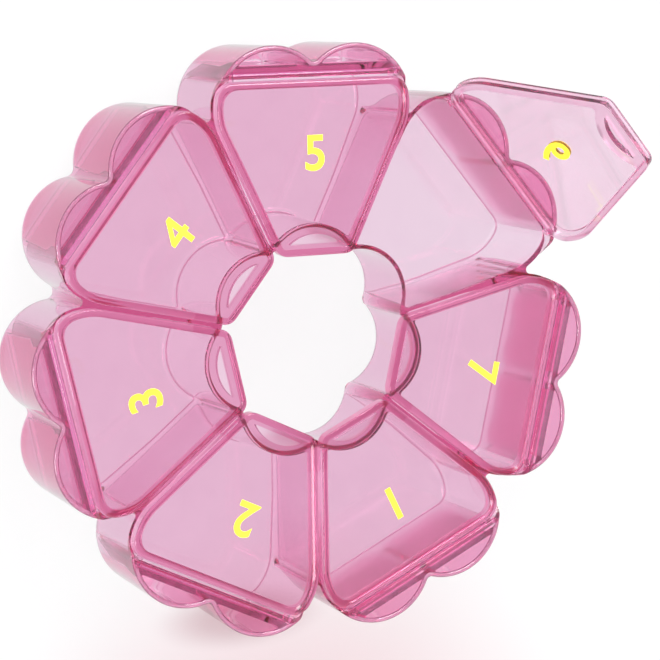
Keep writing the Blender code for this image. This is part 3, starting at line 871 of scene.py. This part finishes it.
# The table: a white sheet that runs well past the picture. A painted soft pink shadow and a smaller, darker painted
# shadow lie where the shadow falls, and where it is seen through the plastic the sheet is a slightly cooler white,
# with a painted shade under the object.
mesh = bmesh.new()
bmesh.ops.create_grid(mesh, x_segments=4, y_segments=4, size=1.5)
table = piece_from(mesh, "table_top")
table.location.z = -0.0002
white = bpy.data.materials.new("table_white")
white.use_nodes = True
nodes, link = white.node_tree.nodes, white.node_tree.links.new
card = nodes["Principled BSDF"]
card.inputs["Base Color"].default_value = (0.86, 0.86, 0.87, 1.0)
card.inputs["Roughness"].default_value = 0.6
spot = nodes.new("ShaderNodeTexCoord")


def soft_patch(centre, reach):
    """A mask on the table, 1 at a centre and gone at its reach across and along."""
    centred = nodes.new("ShaderNodeMapping")
    centred.inputs["Location"].default_value = (-centre[0] / reach[0], -centre[1] / reach[1], 0.0)
    centred.inputs["Scale"].default_value = (1.0 / reach[0], 1.0 / reach[1], 0.0)
    patch = nodes.new("ShaderNodeTexGradient")
    patch.gradient_type = "SPHERICAL"
    soft = nodes.new("ShaderNodeMapRange")
    soft.interpolation_type = "SMOOTHSTEP"
    soft.inputs["From Max"].default_value = 0.75
    link(spot.outputs["Object"], centred.inputs["Vector"])
    link(centred.outputs["Vector"], patch.inputs["Vector"])
    link(patch.outputs["Fac"], soft.inputs["Value"])
    return soft.outputs["Result"]


def shade_over(under, colour, mask):
    tone = nodes.new("ShaderNodeMix")
    tone.data_type = "RGBA"
    tone.inputs["B"].default_value = (*colour, 1.0)
    link(under, tone.inputs["A"])
    link(mask, tone.inputs["Factor"])
    return tone.outputs["Result"]


glow = nodes.new("ShaderNodeEmission")
path = nodes.new("ShaderNodeLightPath")
level = nodes.new("ShaderNodeMath")
level.operation = "MULTIPLY_ADD"
level.inputs[1].default_value = 0.2
level.inputs[2].default_value = 0.78
faced = nodes.new("ShaderNodeMath")
faced.operation = "MAXIMUM"
share = nodes.new("ShaderNodeMath")
share.operation = "MULTIPLY_ADD"
share.inputs[1].default_value = 0.90
share.use_clamp = True
blend = nodes.new("ShaderNodeMixShader")
through = nodes.new("ShaderNodeMix")
through.data_type = "RGBA"
through.inputs["A"].default_value = (1.0, 1.0, 1.0, 1.0)
behind = nodes.new("ShaderNodeMix")
behind.data_type = "RGBA"
behind.inputs["A"].default_value = (0.94, 1.0, 1.0, 1.0)
behind.inputs["B"].default_value = (0.93, 0.90, 0.945, 1.0)
# Painted shade under the object, where the table is seen through the plastic.
link(soft_patch((-0.05, 0.06), (0.17, 0.17)), behind.inputs["Factor"])
link(behind.outputs["Result"], through.inputs["B"])
link(path.outputs["Is Transmission Ray"], through.inputs["Factor"])
# Painted shadow: a soft pink one below the object.
painted_pink_shadow = shade_over(through.outputs["Result"], (0.90, 0.70, 0.73), soft_patch((0.003, -0.115), (0.095, 0.075)))
# Painted shadow: a smaller, darker one next to the foot of the object.
shadowed = shade_over(painted_pink_shadow, (0.68, 0.50, 0.53), soft_patch((-0.009, -0.070), (0.025, 0.009)))
link(shadowed, glow.inputs["Color"])
link(path.outputs["Is Camera Ray"], faced.inputs[0])
link(path.outputs["Is Transmission Ray"], faced.inputs[1])
link(faced.outputs["Value"], level.inputs[0])
link(level.outputs["Value"], glow.inputs["Strength"])
link(path.outputs["Is Camera Ray"], share.inputs[0])
link(path.outputs["Is Glossy Ray"], share.inputs[2])
link(share.outputs["Value"], blend.inputs["Fac"])
link(card.outputs["BSDF"], blend.inputs[1])
link(glow.outputs["Emission"], blend.inputs[2])
link(blend.outputs["Shader"], nodes["Material Output"].inputs["Surface"])
table.data.materials.append(white)


# The studio: a pale room all round, one large soft window behind the top of the picture and a weaker one
# at its left.
world = bpy.data.worlds.new("studio_room")
bpy.context.scene.world = world
world.use_nodes = True
nodes, link = world.node_tree.nodes, world.node_tree.links.new
room = nodes["Background"]
room.inputs["Color"].default_value = (0.97, 0.97, 0.99, 1.0)
around = nodes.new("ShaderNodeTexCoord")
parts = nodes.new("ShaderNodeSeparateXYZ")
band = nodes.new("ShaderNodeValToRGB")
band.color_ramp.interpolation = "EASE"
ends = band.color_ramp.elements
for place, level in ((0.25, 0.6), (0.42, 2.2), (0.70, 2.2), (0.84, 0.6)):
    stop = ends[0] if place == 0.25 else ends[-1] if place == 0.84 else ends.new(place)
    stop.position = place
    stop.color = (level, level, level, 1.0)
link(around.outputs["Generated"], parts.inputs["Vector"])
link(parts.outputs["Z"], band.inputs["Fac"])
link(band.outputs["Color"], room.inputs["Strength"])
plain = nodes.new("ShaderNodeBackground")
plain.inputs["Color"].default_value = (0.95, 0.95, 0.96, 1.0)
path = nodes.new("ShaderNodeLightPath")
blend = nodes.new("ShaderNodeMixShader")
link(path.outputs["Is Camera Ray"], blend.inputs["Fac"])
link(room.outputs["Background"], blend.inputs[1])
link(plain.outputs["Background"], blend.inputs[2])
link(blend.outputs["Shader"], nodes["World Output"].inputs["Surface"])


def soft_window(name, spot, aim, width, height, watts):
    light = bpy.data.lights.new(name, "AREA")
    light.shape = "RECTANGLE"
    light.size = width
    light.size_y = height
    light.energy = watts
    held = bpy.data.objects.new(name, light)
    held.location = spot
    held.rotation_euler = (Vector(aim) - Vector(spot)).to_track_quat("-Z", "Y").to_euler()
    bpy.context.scene.collection.objects.link(held)


soft_window("window_behind", (0.15, 0.75, 0.55), (0.0, 0.0, 0.0), 0.6, 0.4, 6.5)
soft_window("window_left", (-0.8, -0.2, 0.5), (0.0, 0.0, 0.0), 0.4, 0.5, 4.0)


# The camera stands where the photograph was taken from, about 0.7 m away, a little to the left.
camera = bpy.data.objects.new("camera", bpy.data.cameras.new("camera"))
bpy.context.scene.collection.objects.link(camera)
forward = Vector((0.41521, -0.14535, -0.89804)).normalized()
upward = Vector((0.07363, 0.98929, -0.12607))
sideways = forward.cross(upward).normalized()
upward = sideways.cross(forward)
turn = Matrix((sideways, upward, -forward)).transposed().to_4x4()
camera.matrix_world = Matrix.Translation(Vector((-0.2777, 0.1011, 0.6344))) @ turn
camera.data.lens = 159.07
camera.data.sensor_width = 36.0
camera.data.clip_start = 0.01
camera.data.clip_end = 20.0
bpy.context.scene.camera = camera
bpy.context.scene.view_settings.view_transform = "Standard"
light_paths = bpy.context.scene.cycles
light_paths.max_bounces = 40
light_paths.glossy_bounces = 32
light_paths.transmission_bounces = 32
